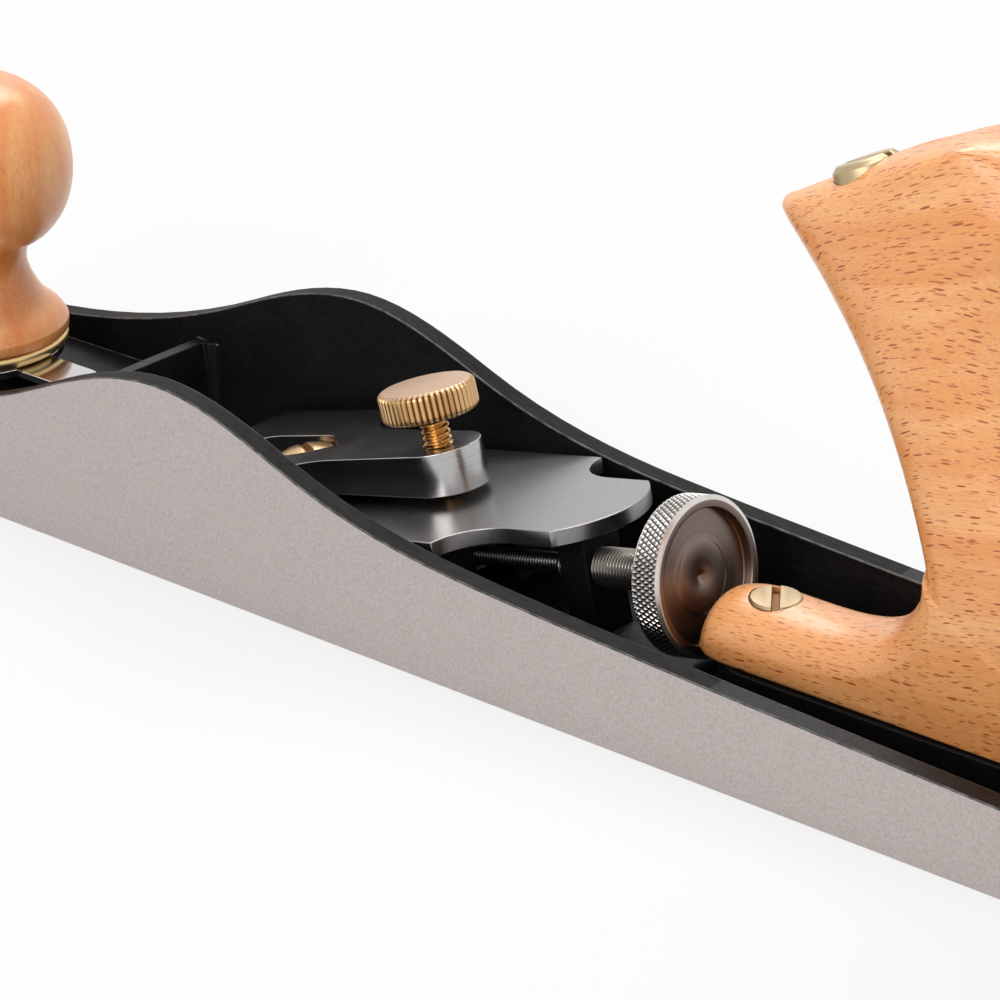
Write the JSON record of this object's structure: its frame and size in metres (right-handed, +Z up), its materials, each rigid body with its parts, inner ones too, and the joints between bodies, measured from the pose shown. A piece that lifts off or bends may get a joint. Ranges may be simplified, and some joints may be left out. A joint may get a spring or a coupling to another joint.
{
  "type": "low angle jack plane",
  "caption": "Low-angle jack plane: cast body with ground sides, bevel-up blade with screw adjuster and lever cap, sliding mouth plate under a round knob, wooden rear handle.",
  "frame": {"origin": "on the sole's underside, midway between toe and heel and between the two ground sides", "axes": "+X from toe to heel, +Y across the body to its far side in the picture, +Z up from the sole"},
  "size_m": [0.355, 0.063, 0.1195],
  "materials": {
    "casting": "ground grey sides and sole, black cast inside",
    "plate_iron": "ground",
    "steel": "satin, brushed along the blade",
    "dull_steel": "turned, satin",
    "bright_steel": "polished",
    "brass": "turned, satin",
    "beech": "waxed, short dark flecks along the grain"
  },
  "bodies": {
    "plane_body": {"plane_body": "casting", "cam_pin": "dull_steel", "cap_screw": "brass", "tote": "beech", "tote_rod": "dull_steel", "tote_nut": "brass", "toe_screw": "brass"},
    "toe_plate": {"toe_plate": "plate_iron", "knob_stud": "dull_steel"},
    "mouth_lever": {"mouth_lever": "bright_steel"},
    "knob_ring": {"knob_ring": "brass"},
    "front_knob": {"front_knob": "beech", "knob_insert": "brass"},
    "blade": {"blade": "steel", "traveller": "dull_steel", "drive_pin": "dull_steel"},
    "lever_cap": {"lever_cap": "steel"},
    "thumb_screw": {"thumb_screw": "brass"},
    "adjuster_screw": {"adjuster_screw": "dull_steel"},
    "adjuster_wheel": {"adjuster_wheel": "dull_steel"}
  },
  "joints": [
    {"name": "toe_plate_slide", "type": "slide", "parent": "plane_body", "child": "toe_plate", "axis": [-1, 0, 0], "range_m": [-0.0008, 0.004]},
    {"name": "mouth_lever_turn", "type": "hinge", "parent": "toe_plate", "child": "mouth_lever", "pos_m": [-0.1357, 0, 0.0182], "axis": [0, 0, 1], "range_deg": [-7.5, 36.5]},
    {"name": "knob_lift", "type": "slide", "parent": "toe_plate", "child": "knob_ring", "axis": [0, 0, 1], "range_m": [0, 0.00125]},
    {"name": "knob_turn", "type": "hinge", "parent": "knob_ring", "child": "front_knob", "pos_m": [-0.1357, 0, 0.03], "axis": [0, 0, 1], "range_deg": [0, 360]},
    {"name": "adjuster_travel", "type": "slide", "parent": "plane_body", "child": "adjuster_screw", "axis": [-0.9781, 0, -0.2079], "range_m": [-0.00124, 0.0003]},
    {"name": "adjuster_spin", "type": "hinge", "parent": "adjuster_screw", "child": "adjuster_wheel", "pos_m": [0.06451, 0, 0.0223], "axis": [-0.9781, 0, -0.2079], "range_deg": [-596, 145]},
    {"name": "blade_feed", "type": "slide", "parent": "plane_body", "child": "blade", "axis": [-0.9781, 0, -0.2079], "range_m": [-0.0024, 0.0006]},
    {"name": "cap_slide", "type": "slide", "parent": "plane_body", "child": "lever_cap", "axis": [0.9781, 0, 0.2079], "range_m": [0, 0.013]},
    {"name": "thumb_turn", "type": "hinge", "parent": "lever_cap", "child": "thumb_screw", "pos_m": [-0.00139, 0, 0.03126], "axis": [-0.2672, 0, 0.9636], "range_deg": [0, 540]}
  ],
  "couplings": [
    {"joint": "mouth_lever_turn", "follows": "toe_plate_slide", "rad_per_m": 157.08},
    {"joint": "knob_turn", "follows": "knob_lift", "rad_per_m": 5026.5},
    {"joint": "adjuster_spin", "follows": "adjuster_travel", "rad_per_m": 8377.6},
    {"joint": "blade_feed", "follows": "adjuster_travel", "ratio": 1.9333}
  ]
}
